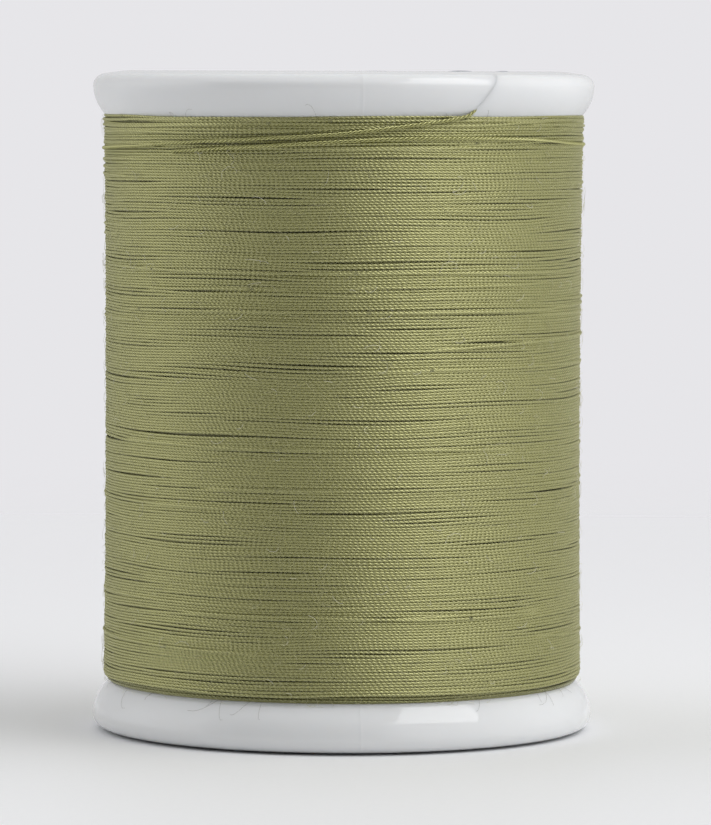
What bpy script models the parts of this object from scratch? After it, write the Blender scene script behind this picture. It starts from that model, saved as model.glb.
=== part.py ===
"""A spool of sewing thread: the moulded spool, its thread package, the thread's free end and the labels.

The spool's axis is +Z and it stands on its lower flange at z = 0. The front is -Y. Azimuths are degrees
round the axis, from the front towards +X. All lengths are metres.
"""

from math import cos, pi, radians, sin, sqrt, tau

import bmesh
import bpy
from mathutils import Matrix, Vector

# Driving dimensions
HEIGHT = 0.050
FLANGE_RADIUS = 0.019
BARREL_RADIUS = 0.010
BORE_RADIUS = 0.0045
WINDING_RADIUS = 0.01822
THREAD_DIAMETER = 0.00026

# Flange: a flat ring to stand on, a crowned outer face, a rounded rim and a bulged inner face
STAND_RING_RADIUS = 0.0158
CROWN_END_RADIUS = 0.0179
CROWN_DROP = 0.0002
RIM_DEPTH = 0.00114
INNER_FACE_REACH = 0.006
INNER_FACE_DEPTH = 0.0042

# Moulded core: the barrel and the hub are tubes, joined by ribs and by a web at half height
BARREL_WALL = 0.0014
HUB_WALL = 0.0012
WEB_THICKNESS = 0.0012
RIB_THICKNESS = 0.001
RIB_COUNT = 6
RIB_SETBACK = 0.001

# Labels, each in a shallow recess of an end face
RECESS_RADIUS = 0.0148
RECESS_DEPTH = 0.00055
LABEL_RADIUS = 0.0145
LABEL_HOLE_RADIUS = 0.0048
LABEL_THICKNESS = 0.0002

# Winding: slightly waisted, with ends that follow the flanges and a rounded lower edge
WINDING_WAIST = 0.00016
WINDING_EDGE_ROUND = 0.0007
EDGE_ROUND_STEPS = 3
WINDING_END_STATIONS = (0, 0.35, 0.6, 0.8, 0.92, 1)
WAIST_STEPS = 8

# Nick in the upper flange that holds the free end, given by the line that it follows
NICK_WIDTH = 0.0005
NICK_INNER_RADIUS = 0.0172
NICK_BLADE_LENGTH = 0.01
NICK_LOW = (33.6, 0.0470)
NICK_HIGH = (38.0, 0.0496)

# The free end, from where it rises out of the winding to its cut tip: (azimuth, height)
TAIL_OVER_WINDING = [
    (-404, 0.04405),
    (-398, 0.04416),
    (-378, 0.04453),
    (-360, 0.04487),
    (-343, 0.04510),
    (-322, 0.04509),
    (-309, 0.04499),
    (-290, 0.04467),
    (-272, 0.04452),
    (-235, 0.04430),
    (-195, 0.04415),
    (-155, 0.04405),
    (-115, 0.04405),
    (-85, 0.04415),
    (-56.5, 0.04438),
    (-44, 0.04464),
    (-15, 0.04512),
    (0, 0.04545),
    (17.5, 0.04612),
    (27.5, 0.04660),
]
TAIL_TIP_RADIUS = 0.0180
TAIL_POINTS = 79
ROUTE_STEPS = 20

GAP = 0.0003
END_CLEARANCE = 0.00045
TAIL_GAP = 0.00015
MERGE_DISTANCE = 0.00001
SEGMENTS = 64
ARC_STEPS = 6
SMOOTH_ANGLE = 35

MATERIALS = {
    "spool_plastic": {"color": (0.80, 0.82, 0.83, 1), "roughness": 0.25},
    "thread": {"color": (0.27, 0.26, 0.12, 1), "roughness": 0.75},
    "label_paper": {"color": (0.75, 0.76, 0.74, 1), "roughness": 0.55},
}


def clear_scene():
    for old in list(bpy.data.objects):
        bpy.data.objects.remove(old, do_unlink=True)


def material(name):
    made = bpy.data.materials.get(name)
    if made:
        return made
    made = bpy.data.materials.new(name)
    made.use_nodes = True
    shader = made.node_tree.nodes["Principled BSDF"]
    shader.inputs["Base Color"].default_value = MATERIALS[name]["color"]
    shader.inputs["Roughness"].default_value = MATERIALS[name]["roughness"]
    shader.inputs["Metallic"].default_value = 0
    return made


def add_object(name, bm, parent=None, material_name=None):
    """Puts a bmesh into the scene as a named object, with its faces pointing out."""
    bmesh.ops.recalc_face_normals(bm, faces=bm.faces)
    mesh = bpy.data.meshes.new(name)
    bm.to_mesh(mesh)
    bm.free()
    mesh.shade_smooth()
    mesh.set_sharp_from_angle(angle=radians(SMOOTH_ANGLE))
    made = bpy.data.objects.new(name, mesh)
    made.parent = parent
    if material_name:
        mesh.materials.append(material(material_name))
    bpy.context.scene.collection.objects.link(made)
    return made


def add_cutter(name, bm, parent):
    made = add_object(name, bm, parent)
    made.hide_render = True
    made.display_type = "WIRE"
    return made


def boolean(target, other, operation):
    modifier = target.modifiers.new(other.name, "BOOLEAN")
    modifier.object = other
    modifier.operation = operation
    modifier.solver = "EXACT"


def turned(profile):
    """Turns a closed outline of (radius, height) points into a ring round the Z axis."""
    bm = bmesh.new()
    corners = [bm.verts.new((radius, 0, height)) for radius, height in profile]
    edges = [bm.edges.new((a, b)) for a, b in zip(corners, corners[1:] + corners[:1])]
    bmesh.ops.spin(
        bm,
        geom=corners + edges,
        cent=(0, 0, 0),
        axis=(0, 0, 1),
        angle=tau,
        steps=SEGMENTS,
        use_merge=True,
    )
    return bm


def mirrored(points):
    """The same outline on the other end of the spool, in the opposite order."""
    return [(radius, HEIGHT - height) for radius, height in reversed(points)]


def on_cylinder(azimuth, radius, height):
    angle = radians(azimuth)
    return Vector((radius * sin(angle), -radius * cos(angle), height))


def inner_face_depth(radius):
    """Depth of the flange's bulged inner face below its end face, at a radius."""
    foot = FLANGE_RADIUS - INNER_FACE_REACH
    share = max(radius - foot, 0) / INNER_FACE_REACH
    return RIM_DEPTH + INNER_FACE_DEPTH * sqrt(1 - min(share, 1) ** 2)


def flange_outline():
    """The lower flange from its recess, round the rim, to the barrel."""
    points = [(RECESS_RADIUS, RECESS_DEPTH), (RECESS_RADIUS, 0), (STAND_RING_RADIUS, 0)]
    rim_reach = FLANGE_RADIUS - CROWN_END_RADIUS
    for step in range(ARC_STEPS + 1):
        angle = step / ARC_STEPS * pi / 2
        radius = CROWN_END_RADIUS + rim_reach * sin(angle)
        height = CROWN_DROP + (RIM_DEPTH - CROWN_DROP) * (1 - cos(angle))
        points.append((radius, height))
    for step in range(1, ARC_STEPS + 1):
        angle = step / ARC_STEPS * pi / 2
        radius = FLANGE_RADIUS - INNER_FACE_REACH * (1 - cos(angle))
        points.append((radius, RIM_DEPTH + INNER_FACE_DEPTH * sin(angle)))
    points.append((BARREL_RADIUS, RIM_DEPTH + INNER_FACE_DEPTH))
    return points


def core_outline():
    """The core's lower half: up the outside of the hub, across the web and down inside the barrel."""
    barrel_inside = BARREL_RADIUS - BARREL_WALL
    hub_outside = BORE_RADIUS + HUB_WALL
    web_underside = (HEIGHT - WEB_THICKNESS) / 2
    return [
        (BORE_RADIUS, RECESS_DEPTH),
        (hub_outside, RECESS_DEPTH),
        (hub_outside, web_underside),
        (barrel_inside, web_underside),
        (barrel_inside, RECESS_DEPTH),
    ]


def make_ribs(parent):
    """Flat radial ribs, run into the walls of the hub and the barrel at both ends."""
    inner = BORE_RADIUS + HUB_WALL / 2
    outer = BARREL_RADIUS - BARREL_WALL / 2
    length = HEIGHT - 2 * (RECESS_DEPTH + RIB_SETBACK)
    bm = bmesh.new()
    for index in range(RIB_COUNT):
        place = (
            Matrix.Rotation(tau * index / RIB_COUNT, 4, "Z")
            @ Matrix.Translation(((inner + outer) / 2, 0, HEIGHT / 2))
            @ Matrix.Diagonal((outer - inner, RIB_THICKNESS, length, 1))
        )
        bmesh.ops.create_cube(bm, size=1, matrix=place)
    return add_cutter("ribs", bm, parent)


def make_nick(parent):
    """A thin leaning blade that cuts the nick through the upper flange's rim."""
    low = on_cylinder(NICK_LOW[0], FLANGE_RADIUS, NICK_LOW[1])
    high = on_cylinder(NICK_HIGH[0], FLANGE_RADIUS, NICK_HIGH[1])
    along = (high - low).normalized()
    outward = Vector((low.x + high.x, low.y + high.y, 0)).normalized()
    across = along.cross(outward).normalized()
    outward = across.cross(along)
    turn = Matrix((outward, across, along)).transposed().to_4x4()
    radial = 2 * (FLANGE_RADIUS - NICK_INNER_RADIUS)
    blade = Matrix.Diagonal((radial, NICK_WIDTH, NICK_BLADE_LENGTH, 1))
    bm = bmesh.new()
    bmesh.ops.create_cube(bm, size=1, matrix=Matrix.Translation((low + high) / 2) @ turn @ blade)
    return add_cutter("nick_blade", bm, parent)


def make_body(parent):
    lower = core_outline() + flange_outline()
    body = add_object("spool_body", turned(lower + mirrored(lower)), parent, "spool_plastic")
    boolean(body, make_ribs(parent), "UNION")
    boolean(body, make_nick(parent), "DIFFERENCE")
    return body


def winding_outline():
    """The thread package, a gap clear of the barrel and of both flanges, from its upper end down."""
    inner = BARREL_RADIUS + GAP
    end = []
    for share in WINDING_END_STATIONS:
        radius = inner + (WINDING_RADIUS - inner) * share
        end.append((radius, inner_face_depth(radius) + END_CLEARANCE))
    bottom = end[-1][1]
    middle = HEIGHT / 2
    side = []
    for step in range(1, WAIST_STEPS):
        height = HEIGHT - bottom + (2 * bottom - HEIGHT) * step / WAIST_STEPS
        waist = WINDING_WAIST * (1 - ((height - middle) / (middle - bottom)) ** 2)
        side.append((WINDING_RADIUS - waist, height))
    top = [(radius, HEIGHT - depth) for radius, depth in end]
    return top + side + list(reversed(end))


def make_winding(parent):
    outline = winding_outline()
    bm = turned(outline)
    corner = min(height for radius, height in outline if radius == WINDING_RADIUS)
    lower_edge = []
    for edge in bm.edges:
        on_corner = [
            abs(vert.co.z - corner) < MERGE_DISTANCE
            and abs(vert.co.xy.length - WINDING_RADIUS) < MERGE_DISTANCE
            for vert in edge.verts
        ]
        if all(on_corner):
            lower_edge.append(edge)
    bmesh.ops.bevel(
        bm,
        geom=lower_edge,
        offset=WINDING_EDGE_ROUND,
        offset_type="OFFSET",
        segments=EDGE_ROUND_STEPS,
        profile=0.5,
        affect="EDGES",
        material=-1,
    )
    return add_object("thread_winding", bm, parent, "thread")


def make_label(name, underside, parent):
    top = underside + LABEL_THICKNESS
    outline = [
        (LABEL_HOLE_RADIUS, underside),
        (LABEL_RADIUS, underside),
        (LABEL_RADIUS, top),
        (LABEL_HOLE_RADIUS, top),
    ]
    return add_object(name, turned(outline), parent, "label_paper")


def smooth_route(points, count):
    """Points at even spacing along a Catmull-Rom curve through a list of points."""
    points = [Vector(point) for point in points]
    ends = [2 * points[0] - points[1]] + points + [2 * points[-1] - points[-2]]
    fine = []
    for a, b, c, d in zip(ends, ends[1:], ends[2:], ends[3:]):
        for step in range(ROUTE_STEPS):
            t = step / ROUTE_STEPS
            bend = (2 * a - 5 * b + 4 * c - d) * t**2 + (3 * b - a - 3 * c + d) * t**3
            fine.append(b + ((c - a) * t + bend) / 2)
    fine.append(points[-1])
    travelled = [0]
    for a, b in zip(fine, fine[1:]):
        travelled.append(travelled[-1] + (b - a).length)
    route = []
    piece = 0
    for index in range(count):
        wanted = travelled[-1] * index / (count - 1)
        while piece < len(fine) - 2 and travelled[piece + 1] < wanted:
            piece += 1
        share = (wanted - travelled[piece]) / (travelled[piece + 1] - travelled[piece])
        route.append(fine[piece].lerp(fine[piece + 1], min(share, 1)))
    return route


def tail_route():
    """The free end's own points as (azimuth in radians, radius, height), then the nick's."""
    over = WINDING_RADIUS + TAIL_GAP + THREAD_DIAMETER / 2
    points = [(azimuth, over, height) for azimuth, height in TAIL_OVER_WINDING]
    points.append((NICK_LOW[0], over, NICK_LOW[1]))
    middle = [(low + high) / 2 for low, high in zip(NICK_LOW, NICK_HIGH)]
    points.append((middle[0], (over + TAIL_TIP_RADIUS) / 2, middle[1]))
    points.append((NICK_HIGH[0], TAIL_TIP_RADIUS, NICK_HIGH[1]))
    # The curve is smoothed on the unrolled winding, in equal units, and rolled up again
    flat = [(radians(azimuth) * over, radius, height) for azimuth, radius, height in points]
    unrolled = smooth_route(flat, TAIL_POINTS)
    return [on_cylinder(point.x / over * 180 / pi, point.y, point.z) for point in unrolled]


def make_tail(parent):
    curve = bpy.data.curves.new("thread_tail", "CURVE")
    curve.dimensions = "3D"
    curve.bevel_depth = THREAD_DIAMETER / 2
    curve.bevel_resolution = 2
    curve.use_fill_caps = True
    curve.materials.append(material("thread"))
    route = tail_route()
    spline = curve.splines.new("POLY")
    spline.points.add(len(route) - 1)
    for knot, place in zip(spline.points, route):
        knot.co = (*place, 1)
    made = bpy.data.objects.new("thread_tail", curve)
    made.parent = parent
    bpy.context.scene.collection.objects.link(made)
    return made


def main():
    clear_scene()
    spool = bpy.data.objects.new("spool", None)
    bpy.context.scene.collection.objects.link(spool)
    make_body(spool)
    make_winding(spool)
    make_label("bottom_label", RECESS_DEPTH - GAP - LABEL_THICKNESS, spool)
    make_label("top_label", HEIGHT - RECESS_DEPTH + GAP, spool)
    make_tail(spool)


main()
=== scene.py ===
from math import atan2, cos, pi, radians, sin, sqrt, tau

import bmesh
import bpy
import numpy as np
from mathutils import Matrix, Vector


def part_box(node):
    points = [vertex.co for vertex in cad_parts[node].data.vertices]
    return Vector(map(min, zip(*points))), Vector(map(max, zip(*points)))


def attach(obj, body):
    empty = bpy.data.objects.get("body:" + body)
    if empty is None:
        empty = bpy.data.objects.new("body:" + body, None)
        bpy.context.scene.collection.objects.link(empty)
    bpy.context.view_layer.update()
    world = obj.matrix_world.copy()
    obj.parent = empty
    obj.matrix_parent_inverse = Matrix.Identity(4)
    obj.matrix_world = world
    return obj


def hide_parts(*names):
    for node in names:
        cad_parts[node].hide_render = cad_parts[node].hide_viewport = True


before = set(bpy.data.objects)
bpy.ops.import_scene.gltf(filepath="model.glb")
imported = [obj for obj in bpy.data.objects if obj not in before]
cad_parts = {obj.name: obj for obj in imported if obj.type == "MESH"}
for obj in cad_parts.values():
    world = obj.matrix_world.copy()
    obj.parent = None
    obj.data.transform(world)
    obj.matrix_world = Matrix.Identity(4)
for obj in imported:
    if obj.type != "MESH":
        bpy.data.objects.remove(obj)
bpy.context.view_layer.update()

# Heights run up the spool's axis. Azimuths are degrees round it, from the front (-Y) towards +X.
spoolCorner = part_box("spool_body")[1]
spoolHeight, flangeRadius = spoolCorner.z, spoolCorner.x
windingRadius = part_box("thread_winding")[1].x
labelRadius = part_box("top_label")[1].x


def onSpool(azimuth, radius, height):
    angle = radians(azimuth)
    return Vector((radius * sin(angle), -radius * cos(angle), height))


# ---- shader helpers


class Wire:  # a shader socket that works in sums like a number
    def __init__(self, finish, socket):
        self.finish = finish
        self.socket = socket

    def maths(self, operation, *values):
        return self.finish.add("ShaderNodeMath", dict(operation=operation), dict(enumerate(values)))

    def __add__(self, other):
        return self.maths("ADD", self, other)

    def __radd__(self, other):
        return self.maths("ADD", other, self)

    def __sub__(self, other):
        return self.maths("SUBTRACT", self, other)

    def __rsub__(self, other):
        return self.maths("SUBTRACT", other, self)

    def __mul__(self, other):
        return self.maths("MULTIPLY", self, other)

    def __rmul__(self, other):
        return self.maths("MULTIPLY", other, self)

    def __truediv__(self, other):
        return self.maths("DIVIDE", self, other)

    def __pow__(self, other):
        return self.maths("POWER", self, other)

    def __abs__(self):
        return self.maths("ABSOLUTE", self)

    def output(self, name):  # another output of the same node
        return Wire(self.finish, self.socket.node.outputs[name])


class Finish:  # one node tree, built up node by node
    def __init__(self, tree):
        self.tree = tree
        tree.nodes.clear()

    def add(self, kind, settings=None, inputs=None, output=0):
        node = self.tree.nodes.new(kind)
        for key, value in (settings or {}).items():
            if key == "stops":
                ramp = node.color_ramp.elements
                while len(ramp) < len(value):
                    ramp.new(1)
                for element, (place, shade) in zip(ramp, value):
                    element.position = place
                    element.color = shade
            else:
                setattr(node, key, value)
        for key, value in (inputs or {}).items():
            if isinstance(value, Wire):
                self.tree.links.new(value.socket, node.inputs[key])
            else:
                node.inputs[key].default_value = value
        return Wire(self, node.outputs[output]) if node.outputs else node

    def objectPlace(self):
        return self.add("ShaderNodeTexCoord", output="Object")

    def parts(self, vector):
        split = self.add("ShaderNodeSeparateXYZ", None, {0: vector})
        return split, split.output("Y"), split.output("Z")

    def noise(self, vector, scale, detail=2, roughness=0.5):
        settings = dict(noise_dimensions="3D")
        sockets = {"Vector": vector, "Scale": scale, "Detail": detail, "Roughness": roughness}
        return self.add("ShaderNodeTexNoise", settings, sockets)

    def stretched(self, vector, scale):
        settings = dict(operation="MULTIPLY")
        return self.add("ShaderNodeVectorMath", settings, {0: vector, 1: scale})

    def mixed(self, share, first, second):
        settings = dict(data_type="RGBA", clamp_factor=True)
        return self.add("ShaderNodeMix", settings, {0: share, 6: first, 7: second}, output=2)

    def between(self, value, low, high):  # 0 below low, 1 above high, smooth between
        settings = dict(interpolation_type="SMOOTHSTEP")
        return self.add("ShaderNodeMapRange", settings, {0: value, 1: low, 2: high})

    def bump(self, height, distance, strength=1):
        sockets = {"Height": height, "Distance": distance, "Strength": strength}
        return self.add("ShaderNodeBump", None, sockets)


def newFinish(name):
    material = bpy.data.materials.new(name)
    material.use_nodes = True
    return material, Finish(material.node_tree)


def surface(finish, **sockets):
    names = {key.replace("_", " "): value for key, value in sockets.items()}
    shader = finish.add("ShaderNodeBsdfPrincipled", None, names)
    finish.add("ShaderNodeOutputMaterial", None, {"Surface": shader})


# ---- mesh helpers


def meshObject(name, bm, material, sharp=40):
    mesh = bpy.data.meshes.new(name)
    bm.to_mesh(mesh)
    bm.free()
    mesh.shade_smooth()
    mesh.set_sharp_from_angle(angle=radians(sharp))
    mesh.materials.append(material)
    piece = bpy.data.objects.new(name, mesh)
    bpy.context.scene.collection.objects.link(piece)
    return piece


def turned(outline, segments):  # a closed outline of (radius, height) points, spun into a ring
    bm = bmesh.new()
    corners = [bm.verts.new((0, -radius, height)) for radius, height in outline]
    edges = [bm.edges.new(pair) for pair in zip(corners, corners[1:] + corners[:1])]
    bmesh.ops.spin(
        bm, geom=corners + edges, cent=(0, 0, 0), axis=(0, 0, 1), angle=tau, steps=segments, use_merge=True
    )
    bmesh.ops.remove_doubles(bm, verts=bm.verts, dist=1e-7)
    bmesh.ops.recalc_face_normals(bm, faces=bm.faces)
    return bm


def hosePiece(name, lines, radius, sides, material):
    # tubes along lists of points, as one mesh whose vertices run ring by ring
    curve = bpy.data.curves.new(name, "CURVE")
    curve.dimensions = "3D"
    curve.bevel_depth = radius
    curve.bevel_resolution = (sides - 4) // 2
    curve.use_fill_caps = True
    curve.twist_mode = "Z_UP"
    for line in lines:
        spline = curve.splines.new("POLY")
        spline.points.add(len(line) - 1)
        knots = np.ones((len(line), 4), np.float32)
        knots[:, :3] = line
        spline.points.foreach_set("co", knots.ravel())
    guide = bpy.data.objects.new(name + "_guide", curve)
    bpy.context.scene.collection.objects.link(guide)
    graph = bpy.context.evaluated_depsgraph_get()
    mesh = bpy.data.meshes.new_from_object(guide.evaluated_get(graph))
    bpy.data.objects.remove(guide)
    bpy.data.curves.remove(curve)
    mesh.name = name
    mesh.materials.clear()
    mesh.materials.append(material)
    mesh.shade_smooth()
    mesh.set_sharp_from_angle(angle=radians(75))  # the end caps stay crisp
    piece = bpy.data.objects.new(name, mesh)
    bpy.context.scene.collection.objects.link(piece)
    return piece


def mapStrand(piece, lines, sides, lay, reach=None):
    # the strand map: u counts turns of twist along the thread, v goes once round it from its outer
    # side or, where reach is given, says how far each point lies from the thread's middle
    mesh = piece.data
    turns = []
    for line in lines:
        steps = np.linalg.norm(np.diff(line, axis=0), axis=1)
        turns.append(np.concatenate([[0], np.cumsum(steps)]) / lay)
    turns = np.concatenate(turns)
    corners = np.empty(len(mesh.loops), np.int32)
    mesh.loops.foreach_get("vertex_index", corners)
    faceOf = np.repeat(np.arange(len(mesh.polygons)), [p.loop_total for p in mesh.polygons])
    side = corners % sides
    places = np.empty(len(mesh.vertices) * 3, np.float32)
    mesh.vertices.foreach_get("co", places)
    ring = places.reshape(-1, 3)[:sides]
    outermost = int(np.linalg.norm(ring[:, :2], axis=1).argmax())
    along = turns[np.minimum(corners // sides, len(turns) - 1)]
    first = np.zeros(len(mesh.polygons), bool)
    last = np.zeros(len(mesh.polygons), bool)
    first[faceOf[side == 0]] = True
    last[faceOf[side == sides - 1]] = True
    closing = (first & last)[faceOf] & (side == 0)
    around = (np.where(closing, sides, side) - outermost) / sides
    if reach is not None:
        around = reach[corners]
    mesh.uv_layers.remove(mesh.uv_layers[0])
    layer = mesh.uv_layers.new(name="strand")
    layer.data.foreach_set("uv", np.stack([along, around], 1).astype(np.float32).ravel())


def finished(piece, slot, *nodes):
    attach(piece, "root")
    if nodes:
        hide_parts(*nodes)
    return piece


# ---- camera, lights and floor

view = dict(distance=0.4256, aside=0.00097, pitch=3.49, roll=0.2, lens=244.4)
studio = dict(
    backdrop=(0.795, 0.79, 0.815, 1),
    surround=(1.08, 1.08, 1.09, 1),
    shade=(0.03, 0.03, 0.03, 1),
    leftWall=(1.4, 1.4, 1.41, 1),
    rear=(0.66, 0.66, 0.67, 1),
    ceiling=(0.75, 0.75, 0.76, 1),
    shadeAzimuth=-22,
    shadeEdge=(0.54, 0.92),
    shadeTop=(0.48, 0.88),
    keyPower=1.6,
    keySize=(0.254, 0.88),
    keyAzimuth=87.5,
    keyElevation=65.1,
    keyDistance=0.62,
    keyTurn=-23.4,
    keyTip=-60.4,
    keyRoll=-26.8,
    leftSpan=(0.3, 1),
    rearSpan=(0.2, 0.9),
    ceilingSpan=(0.35, 0.9),
    floorTones=((0.85, 0.855, 0.865, 1), (0.88, 0.885, 0.895, 1)),
    floorFade=(0.02, 0.3),
    floorEdge=(0.3, 0.9),
    floorSize=2,
    floorDrop=0.00001,
)


def makeCamera():
    camera = bpy.data.objects.new("camera", bpy.data.cameras.new("camera"))
    camera.data.lens = view["lens"]
    camera.data.sensor_width = 36
    camera.data.clip_start = 0.01
    camera.location = (view["aside"], -view["distance"], spoolHeight)
    tilt = Matrix.Rotation(radians(90 - view["pitch"]), 4, "X")
    roll = Matrix.Rotation(radians(view["roll"]), 4, "Z")
    camera.rotation_euler = (tilt @ roll).to_euler()
    bpy.context.scene.collection.objects.link(camera)
    bpy.context.scene.camera = camera


def makeKeyLight():
    lamp = bpy.data.lights.new("soft_box", "AREA")
    lamp.shape = "RECTANGLE"
    lamp.size, lamp.size_y = studio["keySize"]
    lamp.energy = studio["keyPower"]
    light = bpy.data.objects.new("soft_box", lamp)
    rise = radians(studio["keyElevation"])
    target = Vector((0, 0, spoolHeight / 2))
    out = onSpool(studio["keyAzimuth"], cos(rise), sin(rise))
    light.location = target + out * studio["keyDistance"]
    lean = rise + radians(studio["keyTip"])
    back = onSpool(studio["keyAzimuth"] + studio["keyTurn"], cos(lean), sin(lean))
    facing = back.to_track_quat("Z", "Y").to_matrix()
    light.rotation_euler = (facing @ Matrix.Rotation(radians(studio["keyRoll"]), 3, "Z")).to_euler()
    bpy.context.scene.collection.objects.link(light)


def makeWorld():
    world = bpy.data.worlds.new("studio")
    world.use_nodes = True
    bpy.context.scene.world = world
    finish = Finish(world.node_tree)
    direction = finish.add("ShaderNodeTexCoord", output="Generated")
    x, y, z = finish.parts(direction)
    aim = onSpool(studio["shadeAzimuth"], 1, 0)
    towards = (x * aim.x + y * aim.y) / (x * x + y * y + 0.0001) ** 0.5
    overhead = finish.between(z, *studio["shadeTop"])
    shaded = finish.between(towards, *studio["shadeEdge"]) * (1 - overhead)
    leftwards = finish.between(x * -1, *studio["leftSpan"])
    sides = finish.mixed(leftwards, studio["surround"], studio["leftWall"])
    sides = finish.mixed(finish.between(y, *studio["rearSpan"]), sides, studio["rear"])
    walls = finish.mixed(finish.between(z, *studio["ceilingSpan"]), sides, studio["ceiling"])
    lit = finish.mixed(shaded, walls, studio["shade"])
    seen = finish.add("ShaderNodeLightPath", output="Is Camera Ray")
    colour = finish.mixed(seen, lit, studio["backdrop"])
    background = finish.add("ShaderNodeBackground", None, {"Color": colour, "Strength": 1})
    finish.add("ShaderNodeOutputWorld", None, {"Surface": background})


def makeFloor():
    material, finish = newFinish("floor")
    place = finish.objectPlace()
    x, y = finish.parts(place)[:2]
    behind = finish.between(y, *studio["floorFade"])
    away = finish.between((x * x + y * y) ** 0.5, *studio["floorEdge"])
    fade = behind.maths("MAXIMUM", behind, away)
    grain = finish.noise(place, 1800, 2)
    colour = finish.mixed(grain, *studio["floorTones"])
    plain = finish.add("ShaderNodeBsdfPrincipled", None, {"Base Color": colour, "Roughness": 0.6})
    clear = finish.add("ShaderNodeBsdfTransparent")
    both = finish.add("ShaderNodeMixShader", None, {0: fade, 1: plain, 2: clear})
    finish.add("ShaderNodeOutputMaterial", None, {"Surface": both})
    bm = bmesh.new()
    place = Matrix.Translation((0, 0, -studio["floorDrop"]))
    bmesh.ops.create_grid(bm, x_segments=1, y_segments=1, size=studio["floorSize"], matrix=place)
    floor = meshObject("floor", bm, material)


def makeStudio():
    makeCamera()
    makeKeyLight()
    makeWorld()
    makeFloor()
    bpy.context.scene.view_settings.view_transform = "Standard"
    print("studio ready")


# ---- spool body

spool = dict(
    standRing=0.0158,
    crownEnd=0.0179,
    crownDrop=0.0002,
    footDrop=0.00015,
    rimDepth=0.00114,
    innerReach=0.006,
    innerDepth=0.0042,
    barrelRadius=0.010,
    barrelWall=0.0014,
    boreRadius=0.0045,
    hubWall=0.0012,
    webThickness=0.0012,
    ribs=6,
    ribThickness=0.001,
    ribShortfall=0.003,
    recessDepth=0.0002,
    recessGap=0.0002,
    recessEdge=(0.00005, 0.00004),
    chamfer=0.0003,
    segments=216,
    seamAzimuth=4.4,
    seamWidth=0.00007,
    seamHeight=0.000008,
    nickWidth=0.000008,
    nickLow=(30.9, 0.0470),
    nickHigh=(37.2, 0.0496),
    nickInner=0.0179,
    bladeLength=0.01,
    lipCuts=(-0.0006, -0.0003, -0.00012, 0.00012, 0.0003, 0.0006),
    lipSpan=0.0035,
    lipWidth=0.00012,
    lipHeight=0.000006,
    tones=((0.75, 0.76, 0.765, 1), (0.78, 0.79, 0.795, 1)),
)


def innerFaceDepth(radius):
    foot = flangeRadius - spool["innerReach"]
    share = min(max(radius - foot, 0) / spool["innerReach"], 1)
    return spool["rimDepth"] + spool["innerDepth"] * sqrt(1 - share**2)


def flangeOutline(drop):
    recess = labelRadius + spool["recessGap"]
    edgeWidth, edgeDepth = spool["recessEdge"]
    points = [(recess, spool["recessDepth"]), (recess, edgeDepth), (recess + edgeWidth, 0)]
    ring, crownEnd = spool["standRing"], spool["crownEnd"]
    crownSteps, rimSteps, faceSteps = 6, 12, 14
    for step in range(crownSteps):
        share = step / crownSteps
        points.append((ring + (crownEnd - ring) * share, drop * share**2))
    for step in range(rimSteps + 1):
        angle = step / rimSteps * pi / 2
        radius = crownEnd + (flangeRadius - crownEnd) * sin(angle)
        points.append((radius, drop + (spool["rimDepth"] - drop) * (1 - cos(angle))))
    for step in range(1, faceSteps + 1):
        angle = step / faceSteps * pi / 2
        radius = flangeRadius - spool["innerReach"] * (1 - cos(angle))
        points.append((radius, spool["rimDepth"] + spool["innerDepth"] * sin(angle)))
    points.append((spool["barrelRadius"], spool["rimDepth"] + spool["innerDepth"]))
    return points


def coreOutline():
    barrelInside = spool["barrelRadius"] - spool["barrelWall"]
    hubOutside = spool["boreRadius"] + spool["hubWall"]
    web = (spoolHeight - spool["webThickness"]) / 2
    chamfer, recess = spool["chamfer"], spool["recessDepth"]
    return [
        (spool["boreRadius"], recess + chamfer),
        (spool["boreRadius"] + chamfer, recess),
        (hubOutside, recess),
        (hubOutside, web),
        (barrelInside, web),
        (barrelInside, recess),
    ]


def bladeAxes():
    low = onSpool(spool["nickLow"][0], flangeRadius, spool["nickLow"][1])
    high = onSpool(spool["nickHigh"][0], flangeRadius, spool["nickHigh"][1])
    along = (high - low).normalized()
    outward = Vector((low.x + high.x, low.y + high.y, 0)).normalized()
    across = along.cross(outward).normalized()
    outward = across.cross(along)
    return (low + high) / 2, outward, across, along


def raiseSeam(bm):
    # the mould's parting line: a fine ridge down both flanges, front and back
    angle = radians(spool["seamAzimuth"])
    across = Vector((cos(angle), sin(angle), 0))
    half = spool["seamWidth"] / 2
    for offset in (-half, 0, half):
        geometry = bm.verts[:] + bm.edges[:] + bm.faces[:]
        bmesh.ops.bisect_plane(bm, geom=geometry, plane_co=across * offset, plane_no=across)
    bm.normal_update()
    inside = spool["barrelRadius"] + 0.001
    for vert in bm.verts:
        onSeam = abs(vert.co.dot(across)) < half / 10
        if onSeam and vert.co.xy.length > inside:
            vert.co += vert.normal * spool["seamHeight"]


def splitRound(bm, middle, across, offsets):
    # finer strips of the rim beside the nick, so that its lips can stand up
    for offset in offsets:
        near = [f for f in bm.faces if (f.calc_center_median() - middle).length < 0.004]
        edges = {e for f in near for e in f.edges}
        verts = {v for f in near for v in f.verts}
        geometry = list(verts) + list(edges) + near
        bmesh.ops.bisect_plane(bm, geom=geometry, plane_co=middle + across * offset, plane_no=across)


def raiseLips(bm, middle, across):
    # the knife has pushed up a small lip on both sides of its cut
    bm.normal_update()
    for vert in bm.verts:
        reach = vert.co - middle
        aside = abs(reach.dot(across))
        radius = vert.co.xy.length
        if reach.length < spool["lipSpan"] and radius > spool["nickInner"]:
            lip = max(0, 1 - aside / spool["lipWidth"])
            vert.co += vert.normal * spool["lipHeight"] * lip


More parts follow.
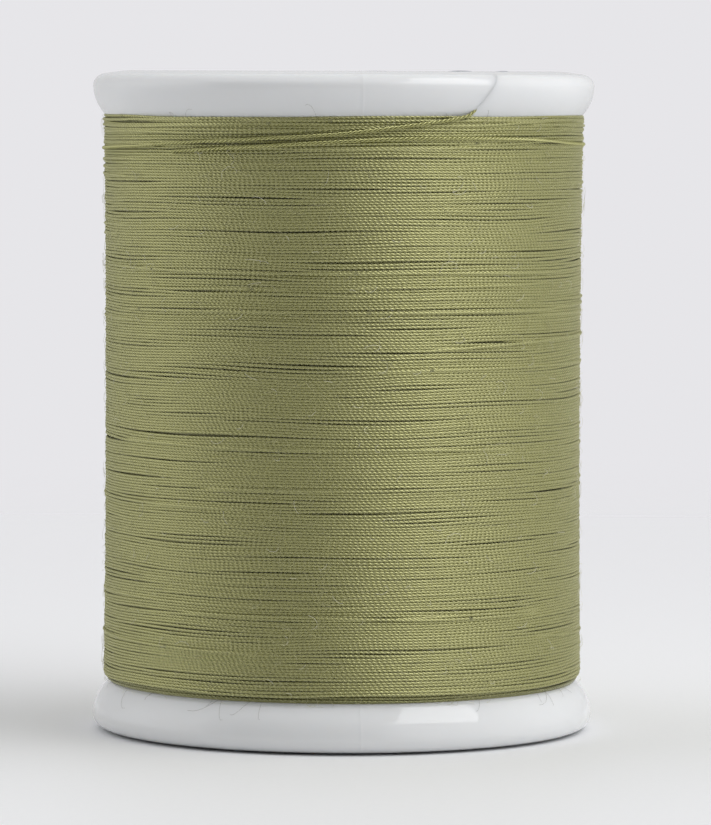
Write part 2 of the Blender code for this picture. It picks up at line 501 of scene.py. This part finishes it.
def cutNick(piece, middle, outward, across, along):
    turn = Matrix((outward, across, along)).transposed().to_4x4()
    radial = 2 * (flangeRadius - spool["nickInner"])
    blade = Matrix.Diagonal((radial, spool["nickWidth"], spool["bladeLength"], 1))
    bm = bmesh.new()
    bmesh.ops.create_cube(bm, size=1, matrix=Matrix.Translation(middle) @ turn @ blade)
    cutter = meshObject("nick_blade", bm, piece.data.materials[0])
    cut = piece.modifiers.new("nick", "BOOLEAN")
    cut.object = cutter
    cut.operation = "DIFFERENCE"
    cut.solver = "EXACT"
    graph = bpy.context.evaluated_depsgraph_get()
    mesh = bpy.data.meshes.new_from_object(piece.evaluated_get(graph))
    piece.modifiers.clear()
    piece.data = mesh
    bpy.data.objects.remove(cutter)


def addRibs(piece):
    bm = bmesh.new()
    bm.from_mesh(piece.data)
    inner = spool["boreRadius"] + spool["hubWall"] / 2
    outer = spool["barrelRadius"] - spool["barrelWall"] / 2
    length = spoolHeight - spool["ribShortfall"]
    for index in range(spool["ribs"]):
        place = (
            Matrix.Rotation(tau * index / spool["ribs"], 4, "Z")
            @ Matrix.Translation(((inner + outer) / 2, 0, spoolHeight / 2))
            @ Matrix.Diagonal((outer - inner, spool["ribThickness"], length, 1))
        )
        bmesh.ops.create_cube(bm, size=1, matrix=place)
    bm.to_mesh(piece.data)
    bm.free()


def plasticFinish():
    material, finish = newFinish("white_moulded_plastic")
    place = finish.objectPlace()
    cloud = finish.noise(place, 160, 3)
    ripple = finish.noise(place, 420, 2)
    colour = finish.mixed(cloud, *spool["tones"])
    surface(
        finish,
        Base_Color=colour,
        Roughness=0.045 + cloud * 0.03,
        IOR=1.56,
        Subsurface_Weight=0.4,
        Subsurface_Radius=(0.0016, 0.0015, 0.0014),
        Subsurface_Scale=1,
        Normal=finish.bump(ripple, 0.0000016, 1),
    )
    return material


def makeBody():
    lower = coreOutline() + flangeOutline(spool["footDrop"])
    upper = reversed(coreOutline() + flangeOutline(spool["crownDrop"]))
    upper = [(radius, spoolHeight - height) for radius, height in upper]
    bm = turned(lower + upper, spool["segments"])
    raiseSeam(bm)
    middle, outward, across, along = bladeAxes()
    splitRound(bm, middle, across, spool["lipCuts"])
    raiseLips(bm, middle, across)
    piece = meshObject("spool_moulding", bm, plasticFinish(), 30)
    cutNick(piece, middle, outward, across, along)
    addRibs(piece)
    piece.data.shade_smooth()
    piece.data.set_sharp_from_angle(angle=radians(30))
    finished(piece, "spool_plastic", "spool_body")
    print("spool body", len(piece.data.polygons), "faces")


# ---- thread

thread = dict(
    radius=0.000118,
    lay=0.00114,
    pale=(0.128, 0.125, 0.027, 1),
    deep=(0.042, 0.040, 0.008, 1),
    # colour of the painted shade in the ply grooves and between the turns
    paintedPlyShade=(0.022, 0.021, 0.005, 1),
    pieces=4,
    turns=192,
    perTurn=160,
    sides=8,
    closest=0.000205,
    sway=0.00012,
    sink=0.00002,
    waist=0.00016,
    rounding=(0.0014, 0.0007),
    roughness=0.52,
    polish=0.26,
    plyRelief=0.000031,
    seed=7,
)
under = dict(turns=168, perTurn=96, sides=6, closest=0.00021, sink=0.00019, depth=0.0005, seed=19)


def cottonSurface(finish, colour, roughness, height, depth, lift=1):
    surface(
        finish,
        Base_Color=colour,
        Roughness=roughness,
        IOR=2.5,
        Specular_IOR_Level=1.0 * lift,
        Specular_Tint=(1, 0.985, 0.5, 1),
        Sheen_Weight=1.0 * lift,
        Sheen_Roughness=0.3,
        Sheen_Tint=(0.85, 0.85, 0.55, 1),
        Normal=finish.bump(height, depth, 1),
    )


def threadFinish(name="olive_cotton_thread", lift=1):
    # three plies wind round the strand; the grooves between them get painted shade, and so do the strand's
    # sides and inner side, where it meets its neighbours. A lift below 1 makes the whole finish a darker
    # copy, as painted shade.
    material, finish = newFinish(name)
    strand = finish.add("ShaderNodeUVMap", dict(uv_map="strand"))
    along, around = finish.parts(strand)[:2]
    place = finish.objectPlace()
    wander = finish.noise(finish.stretched(strand, (0.35, 0, 0)), 1, 1)
    phase = (around - along + wander * 0.6) * (3 * pi)
    ply = abs(phase.maths("COSINE", phase))
    crest = finish.between(ply, 0.08, 0.75)
    fibres = finish.noise(finish.stretched(strand, (4.5, 9, 0)), 1, 2)
    streak = finish.noise(finish.stretched(place, (70, 70, 4200)), 1, 2)
    shift = finish.noise(place, 90, 2)
    # the tone varies at random with fibres, streaks and patches, and is paler on the ply crests as painted
    # light
    tone = ply * 0.3 + fibres * 0.3 + streak * 0.5 + shift * 0.3 - 0.3
    paintedPlyShade, deep, pale = ([v * lift for v in thread[key][:3]] + [1] for key in ("paintedPlyShade", "deep", "pale"))
    # outer is 1 on the strand's outer side and 0 on its inner side; painted shade grows towards the sides
    # and the inside
    angle = around * tau
    outer = finish.between(angle.maths("COSINE", angle), -0.2, 0.8)
    colour = finish.mixed(crest * (outer * 0.6 + 0.4), paintedPlyShade, finish.mixed(tone, deep, pale))
    roughness = thread["roughness"] - crest * outer * thread["polish"]
    cottonSurface(finish, colour, roughness, ply + fibres * 0.3, thread["plyRelief"], min(lift, 1))
    return material


def windingSurface(height):
    # radius of the package at a height: slightly waisted, rounded over at its lower edge
    low = innerFaceDepth(windingRadius)
    roundHeight, roundDepth = thread["rounding"]
    share = (height - spoolHeight / 2) / (spoolHeight / 2 - low)
    radius = windingRadius - thread["waist"] * (1 - share**2)
    drop = np.clip((low + roundHeight - height) / roundHeight, 0, 1)
    return radius - roundDepth * (1 - np.sqrt(1 - drop**2))


def drift(rng, count, length):
    # smooth random values along a line, from -1 to 1, that change over about the given length
    knots = rng.uniform(-1, 1, int(count / length) + 4)
    at = np.arange(count) / length
    cell = at.astype(int)
    t = at - cell
    t = t * t * (3 - 2 * t)
    return knots[cell] * (1 - t) + knots[cell + 1] * t


def windTurns(low, high, turns, perTurn, seed, closest):
    # heights and radial shifts of every turn: laid evenly, swayed at random, then spaced out
    rng = np.random.default_rng(seed)
    count = turns * perTurn
    height = low + (high - low) * (np.arange(count) + 0.5) / count
    angle = np.arange(count) / perTurn * tau + pi
    common = np.zeros(count)
    for wave in range(26):
        around, up, start = rng.integers(0, 7), rng.normal(0, 2200), rng.uniform(0, tau)
        common += np.cos(around * angle + up * height + start)
    own = drift(rng, count, perTurn / 18) + 0.7 * drift(rng, count, perTurn / 5)
    rows = (height + thread["sway"] * (common / 7 + own * 0.6)).reshape(turns, perTurn)
    order = np.arange(turns)[:, None] * closest
    pushedUp = np.maximum.accumulate(rows - order, axis=0)
    pushedDown = np.minimum.accumulate((rows - order)[::-1], axis=0)[::-1]
    rows = np.clip((pushedUp + pushedDown) / 2, low, high - order[-1]) + order
    bulge = 0.00003 * drift(rng, count, perTurn / 7) + 0.000012 * drift(rng, count, perTurn / 2)
    return angle, rows.ravel(), bulge


def windLine(turn, height, bulge, sink):
    radius = windingSurface(height) - thread["radius"] - sink + bulge
    return np.stack([radius * np.sin(turn), -radius * np.cos(turn), height], 1)


def makeWinding(material):
    low = innerFaceDepth(windingRadius - 0.0008) + thread["radius"] + 0.00015
    high = spoolHeight - innerFaceDepth(windingRadius) - thread["radius"] * 0.9
    perTurn, turns, sides = thread["perTurn"], thread["turns"], thread["sides"]
    laid = windTurns(low, high, turns, perTurn, thread["seed"], thread["closest"])
    line = windLine(*laid, thread["sink"])
    share = turns // thread["pieces"] * perTurn
    for index in range(thread["pieces"]):
        part = line[index * share : (index + 1) * share + 1]
        name = f"thread_turns_{index + 1}"
        piece = hosePiece(name, [part], thread["radius"], sides, material)
        mapStrand(piece, [part], sides, thread["lay"])
        finished(piece, "thread", "thread_winding")
        print(name, len(piece.data.polygons), "faces")


def makeUnderTurns(material):
    # the layer below, wound the other way, which shows in the gaps; its finish is a darker copy of the
    # thread's, as painted shade
    low = innerFaceDepth(windingRadius - under["depth"]) + thread["radius"]
    high = spoolHeight - innerFaceDepth(windingRadius) - thread["radius"]
    perTurn, turns, sides = under["perTurn"], under["turns"], under["sides"]
    angle, height, bulge = windTurns(low, high, turns, perTurn, under["seed"], under["closest"])
    line = windLine(-angle, height, bulge, under["sink"])
    half = turns // 2 * perTurn
    for index, part in enumerate((line[: half + 1], line[half:])):
        name = f"under_turns_{index + 1}"
        piece = hosePiece(name, [part], thread["radius"], sides, material)
        mapStrand(piece, [part], sides, thread["lay"])
        finished(piece, "thread", "thread_winding")
        print(name, len(piece.data.polygons), "faces")


strays = dict(
    count=60,
    length=(45, 170),
    rise=0.0006,
    height=(0.00003, 0.00010),
    wave=0.00006,
    dive=16,
    buried=0.00032,
    seed=11,
)


def makeStrays(material):
    # turns that ride up over their neighbours for a while and cross them at a small angle
    rng = np.random.default_rng(strays["seed"])
    lowest = innerFaceDepth(windingRadius) + 0.0012
    highest = spoolHeight - innerFaceDepth(windingRadius) - 0.0004
    lines = []
    for index in range(strays["count"]):
        length = rng.uniform(*strays["length"])
        start = rng.uniform(0, 360)
        middle = highest - (highest - lowest) * rng.uniform(0, 1) ** (1.6 if index % 3 else 4)
        rise = rng.normal(0, strays["rise"] / 2)
        up = rng.uniform(*strays["height"])
        share = np.linspace(0, 1, int(length))
        wave = strays["wave"] * np.sin(share * rng.uniform(4, 12) + index)
        height = np.clip(middle + rise * (share - 0.5) + wave, lowest, highest)
        ramp = np.clip(np.minimum(share, 1 - share) * length / strays["dive"], 0, 1)
        sink = strays["buried"] - (strays["buried"] + up) * np.sqrt(ramp * (2 - ramp))
        turn = np.radians(start + length * share)
        lines.append(windLine(turn, height, 0, sink))
    piece = hosePiece("crossing_turns", lines, thread["radius"], thread["sides"], material)
    mapStrand(piece, lines, thread["sides"], thread["lay"])
    finished(piece, "thread", "thread_winding")
    print("crossing turns", len(lines))


core = dict(depth=0.0005, endSteps=12, sideSteps=24, segments=128)


def makePackageCore(material):
    # the imported thread below the turns that can be told apart, in a darker copy of the thread's finish
    # as painted shade
    inner, outer = spool["barrelRadius"], windingRadius - core["depth"]
    endSteps, sideSteps = core["endSteps"], core["sideSteps"]
    radii = [inner + (outer - inner) * step / endSteps for step in range(endSteps + 1)]
    outline = [(radius, spoolHeight - innerFaceDepth(radius)) for radius in radii]
    top, bottom = outline[-1][1], innerFaceDepth(outer)
    for step in range(1, sideSteps):
        height = top + (bottom - top) * step / sideSteps
        outline.append((float(windingSurface(height)) - core["depth"], height))
    outline += [(radius, innerFaceDepth(radius)) for radius in reversed(radii)]
    piece = meshObject("package_core", turned(outline, core["segments"]), material, 60)
    finished(piece, "thread", "thread_winding")
    print("package core", len(piece.data.polygons), "faces")


# ---- the thread's free end

tail = dict(
    # azimuth and height of its route over the winding, as on the plain tail of the frame
    over=[
        (-404, 0.04405), (-398, 0.04416), (-378, 0.04453), (-360, 0.04487), (-343, 0.04510),
        (-322, 0.04509), (-309, 0.04499), (-290, 0.04467), (-272, 0.04452), (-235, 0.04430),
        (-195, 0.04415), (-155, 0.04405), (-115, 0.04405), (-85, 0.04415), (-56.5, 0.04438),
        (-44, 0.04464), (-15, 0.04512), (0, 0.04545), (17.5, 0.04612), (27.5, 0.04660),
    ],
    tipRadius=0.0180,
    rest=0.00009,
    bedding=0.0002,
    clearAcross=48,
    bedsWithin=30,
    points=2400,
    plyRadius=0.00006,
    plyOffset=0.00008,
    plyRelief=0.000012,
    sides=6,
)


def smoothLine(points, count):
    # even points along a Catmull-Rom curve
    points = np.array(points, float)
    ends = np.vstack([2 * points[0] - points[1], points, 2 * points[-1] - points[-2]])
    t = np.linspace(0, 1, 40, endpoint=False)[:, None]
    fine = []
    for a, b, c, d in zip(ends, ends[1:], ends[2:], ends[3:]):
        bend = (2 * a - 5 * b + 4 * c - d) * t**2 + (3 * b - a - 3 * c + d) * t**3
        fine.append(b + ((c - a) * t + bend) / 2)
    fine = np.vstack(fine + [points[-1:]])
    steps = np.linalg.norm(np.diff(fine, axis=0), axis=1)
    travelled = np.concatenate([[0], np.cumsum(steps)])
    wanted = np.linspace(0, travelled[-1], count)
    return np.stack([np.interp(wanted, travelled, fine[:, axis]) for axis in range(3)], 1)


def tailLine():
    lift = thread["radius"] + tail["rest"]
    points = []
    for index, (azimuth, height) in enumerate(tail["over"]):
        # it stands clear across the front and beds down between the turns round the rest
        offFront = abs((azimuth + 180) % 360 - 180)
        bedded = min(max((offFront - tail["clearAcross"]) / tail["bedsWithin"], 0), 1)
        rise = lift - tail["bedding"] * max(1 - index / 2, bedded)
        points.append((radians(azimuth) * windingRadius, windingSurface(height) + rise, height))
    low, high = spool["nickLow"], spool["nickHigh"]
    over = windingRadius + lift
    middle = (low[0] + high[0]) / 2, (low[1] + high[1]) / 2
    points.append((radians(low[0]) * windingRadius, over, low[1]))
    points.append((radians(middle[0]) * windingRadius, (over + tail["tipRadius"]) / 2, middle[1]))
    points.append((radians(high[0]) * windingRadius, tail["tipRadius"], high[1]))
    return smoothLine(points, tail["points"])


def makeTail(material):
    flat = tailLine()
    angle = flat[:, 0] / windingRadius
    radius, height = flat[:, 1], flat[:, 2]
    line = np.stack([radius * np.sin(angle), -radius * np.cos(angle), height], 1)
    forward = np.gradient(line, axis=0)
    forward /= np.linalg.norm(forward, axis=1)[:, None]
    out = np.stack([np.sin(angle), -np.cos(angle), np.zeros(len(angle))], 1)
    out -= forward * (out * forward).sum(1)[:, None]
    out /= np.linalg.norm(out, axis=1)[:, None]
    aside = np.cross(forward, out)
    travelled = np.concatenate([[0], np.cumsum(np.linalg.norm(np.diff(line, axis=0), axis=1))])
    plies = []
    for ply in range(3):
        twist = -(travelled / thread["lay"] + ply / 3) * tau
        shift = out * np.cos(twist)[:, None] + aside * np.sin(twist)[:, None]
        plies.append(line + shift * tail["plyOffset"])
    piece = hosePiece("thread_free_end", plies, tail["plyRadius"], tail["sides"], material)
    places = np.empty(len(piece.data.vertices) * 3, np.float32)
    piece.data.vertices.foreach_get("co", places)
    middle = np.tile(np.repeat(line, tail["sides"], axis=0), (3, 1))
    away = np.linalg.norm(places.reshape(-1, 3)[: len(middle)] - middle, axis=1)
    reach = np.concatenate([away, np.zeros(len(piece.data.vertices) - len(middle))])
    reach /= tail["plyOffset"] + tail["plyRadius"]
    mapStrand(piece, plies, tail["sides"], thread["lay"], reach)
    finished(piece, "thread", "thread_tail")
    print("free end", round(travelled[-1] * 1000, 1), "mm", len(piece.data.polygons), "faces")


def plyFinish():
    material, finish = newFinish("olive_cotton_ply")
    strand = finish.add("ShaderNodeUVMap", dict(uv_map="strand"))
    fibres = finish.noise(finish.stretched(strand, (3, 6, 0)), 1, 3)
    # the free end's colours are 1.4 times those of the winding, as painted light on a thread that stands
    # off the turns
    deep, pale = ([v * 1.4 for v in thread[key][:3]] + [1] for key in ("deep", "pale"))
    reach = finish.parts(strand)[1]
    # the inner side of each ply, towards the thread's middle, gets painted shade
    crest = finish.between(reach, 0.5, 0.95)
    colour = finish.mixed(crest, thread["paintedPlyShade"], finish.mixed(fibres * 1.4 - 0.1, deep, pale))
    roughness = thread["roughness"] - crest * thread["polish"]
    cottonSurface(finish, colour, roughness, fibres, tail["plyRelief"])
    return material


# ---- loose fibres

fuzz = dict(
    own=dict(count=2200, length=(0.0004, 0.0016), width=0.0000075, tint=(0.55, 0.53, 0.3, 1)),
    # the pale lint's tint is partly its own colour and partly painted highlight
    lintAndGlint=dict(count=420, length=(0.0003, 0.0014), width=0.000010, tint=(0.78, 0.76, 0.62, 1)),
    hairs=dict(count=46, length=(0.0003, 0.0011), width=0.000007, tint=(0.12, 0.11, 0.07, 1)),
    stand=(0.00002, 0.00022),
    bedding=0.00001,
    knots=6,
    sides=4,
    seed=3,
)


def fibreLines(rng, kind, lowest, highest):
    # short curled fibres that stand a little off the winding
    lines = []
    for index in range(kind["count"]):
        azimuth = rng.uniform(0, 360)
        height = rng.uniform(lowest, highest)
        reach = rng.uniform(*kind["length"])
        heading = rng.normal(0, 0.9)
        curl = rng.normal(0, 1.6)
        up = rng.uniform(*fuzz["stand"])
        line = []
        for knot in range(fuzz["knots"]):
            t = knot / (fuzz["knots"] - 1)
            bearing = heading + curl * t
            at = height + reach * t * sin(bearing) * 0.8
            at = min(max(at, lowest), highest)
            spread = reach * t * cos(bearing) / windingRadius
            radius = float(windingSurface(at)) - fuzz["bedding"] + up * sin(t * pi * 0.8)
            line.append(onSpool(azimuth + spread * 180 / pi, radius, at))
        lines.append(np.array(line))
    return lines


def hairLines(rng):
    # hairs that hang from the thread's edges over the inner faces of the flanges
    lines = []
    for index in range(fuzz["hairs"]["count"]):
        azimuth = rng.uniform(0, 360)
        swing = rng.uniform(-5, 5)
        curl = rng.uniform(-4, 4)
        reach = rng.uniform(*fuzz["hairs"]["length"])
        line = []
        for t in np.linspace(0, 1, fuzz["knots"] + 2):
            radius = windingRadius - 0.0006 + reach * sin(t * 1.9) + 0.0001 * t
            depth = innerFaceDepth(radius) + 0.00002 + 0.00009 * sin(t * pi)
            height = spoolHeight - depth if index % 4 == 0 else depth
            line.append(onSpool(azimuth + swing * t + curl * t * t, radius, height))
        lines.append(np.array(line))
    return lines


def fibreFinish(name, colour):
    material, finish = newFinish(name)
    cloud = finish.noise(finish.objectPlace(), 900, 2)
    tint = finish.mixed(cloud, [v * 0.8 for v in colour[:3]] + [1], colour)
    surface(finish, Base_Color=tint, Roughness=0.6, Sheen_Weight=0.3)
    return material


def layFibres(name, finishName, kind, lines):
    material = fibreFinish(finishName, kind["tint"])
    piece = hosePiece(name, lines, kind["width"], fuzz["sides"], material)
    finished(piece, "thread")
    print(name, len(lines))


def makeFuzz():
    rng = np.random.default_rng(fuzz["seed"])
    lowest = innerFaceDepth(windingRadius) + 0.0002
    highest = spoolHeight - lowest
    layFibres("thread_fuzz", "olive_fibre", fuzz["own"], fibreLines(rng, fuzz["own"], lowest, highest))
    # pale lint, tinted partly as painted highlight
    layFibres("pale_lint", "pale_lint", fuzz["lintAndGlint"], fibreLines(rng, fuzz["lintAndGlint"], lowest, highest))
    layFibres("dark_hairs", "dark_hair", fuzz["hairs"], hairLines(rng))


# ---- labels

label = dict(
    hole=0.0048,
    thickness=0.00012,
    curl=0.003,
    ink=(0.004, 0.045, 0.120, 1),
    paper=(0.80, 0.80, 0.76, 1),
    swatch=(0.30, 0.29, 0.13, 1),
    shadow=(0.35, 0.35, 0.33, 1),
    band=(0.01218, 0.01224),
    line=(0.01150, 0.01153, 0.01165, 0.01168),
    swatchRing=(0.00690, 0.00694, 0.01010, 0.01014),
    rings=28,
    around=160,
    lifts=((36.5, 7.5, 0.00009), (55.0, 5.5, 0.00008), (170, 12, 0.00006)),
)


def labelFinish():
    # a dark band and line, and half a ring in the thread's own colour
    material, finish = newFinish("printed_paper")
    place = finish.objectPlace()
    x, y = finish.parts(place)[:2]
    radius = (x * x + y * y) ** 0.5
    line, ring = label["line"], label["swatchRing"]
    outerBand = finish.between(radius, *label["band"])
    thinLine = finish.between(radius, *line[:2]) * (1 - finish.between(radius, *line[2:]))
    swatchBand = finish.between(radius, *ring[:2]) * (1 - finish.between(radius, *ring[2:]))
    sector = finish.between(y * -1, 0.0004, 0.00045)
    fibres = finish.noise(place, 2600, 3)
    colour = finish.mixed(swatchBand * sector, label["paper"], label["swatch"])
    colour = finish.mixed(outerBand.maths("MAXIMUM", outerBand, thinLine), colour, label["ink"])
    shaded = finish.mixed(fibres * 0.12, colour, label["shadow"])
    surface(
        finish,
        Base_Color=shaded,
        Roughness=0.42 + fibres * 0.15,
        Specular_IOR_Level=0.2,
        Normal=finish.bump(fibres, 0.000004, 0.6),
    )
    return material


def makeLabel(name, node, material, facing):
    low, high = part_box(node)
    thickness, rings = label["thickness"], label["rings"]
    width = labelRadius - label["hole"]
    radii = [label["hole"] + width * step / rings for step in range(rings + 1)]
    outline = [(radius, 0) for radius in radii] + [(radius, thickness) for radius in reversed(radii)]
    bm = turned(outline, label["around"])
    for vert in bm.verts:
        azimuth = atan2(vert.co.x, -vert.co.y) * 180 / pi
        edge = max(0, (vert.co.xy.length - labelRadius + label["curl"]) / label["curl"]) ** 2
        for centre, span, lift in label["lifts"]:
            away = (azimuth - centre + 180) % 360 - 180
            vert.co.z += lift * edge * max(0, cos(min(abs(away) / span, 1) * pi / 2)) * (facing > 0)
        vert.co.z = high.z - thickness + vert.co.z if facing > 0 else low.z + thickness - vert.co.z
    bm.normal_update()  # the lower label was mirrored, and the next line goes by the stored normals
    bmesh.ops.recalc_face_normals(bm, faces=bm.faces)
    piece = meshObject(name, bm, material, 50)
    finished(piece, "label_paper", node)
    print(name, len(piece.data.polygons), "faces")


makeStudio()
makeBody()
cotton = threadFinish()
makeWinding(cotton)
makeStrays(cotton)
# the layer below gets a darker copy of the thread's finish, as painted shade
makeUnderTurns(threadFinish("olive_cotton_below_painted_shade", 0.62))
# the core gets a still darker copy of the thread's finish, as painted shade
makePackageCore(threadFinish("olive_cotton_core_painted_shade", 0.45))
makeTail(plyFinish())
makeFuzz()
printed = labelFinish()
makeLabel("top_paper_label", "top_label", printed, 1)
makeLabel("bottom_paper_label", "bottom_label", printed, -1)
